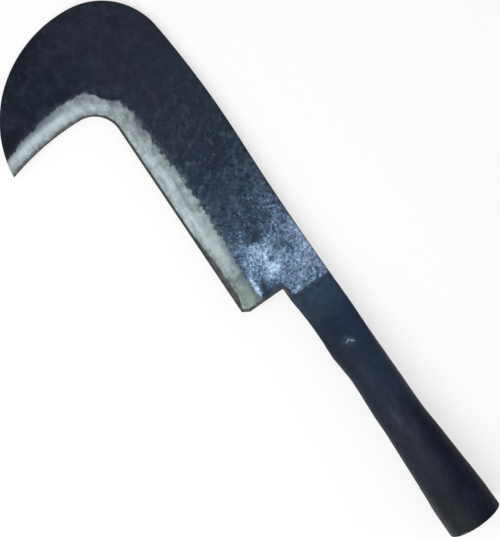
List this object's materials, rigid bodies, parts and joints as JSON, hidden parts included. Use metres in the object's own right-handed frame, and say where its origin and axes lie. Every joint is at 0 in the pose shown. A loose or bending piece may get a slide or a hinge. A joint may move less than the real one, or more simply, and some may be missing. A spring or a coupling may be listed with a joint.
{
  "type": "billhook",
  "caption": "Forged billhook with a hooked blade, a laminated ground edge and a handle socket rolled from sheet iron.",
  "frame": {"origin": "centre of the open socket mouth, on the handle axis and in the middle plane of the blade", "axes": "+X along the handle axis from the socket mouth to the hook, +Y towards the cutting side, +Z square to the flat of the blade"},
  "size_m": [0.4108, 0.1314, 0.0368],
  "materials": {
    "forged_iron": "black forge scale with a silvery speckle near the heel and satin ground faces along the edge",
    "hard_steel": "satin, ground",
    "socket_iron": "matte blue-black scale, rubbed on the grip",
    "weld_iron": "dark rippled bead"
  },
  "bodies": {
    "root": {"blade_body": "forged_iron", "edge_steel": "hard_steel", "handle_socket": "socket_iron", "neck_weld_front": "weld_iron", "neck_weld_back": "weld_iron", "seam_weld": "weld_iron"}
  },
  "joints": []
}
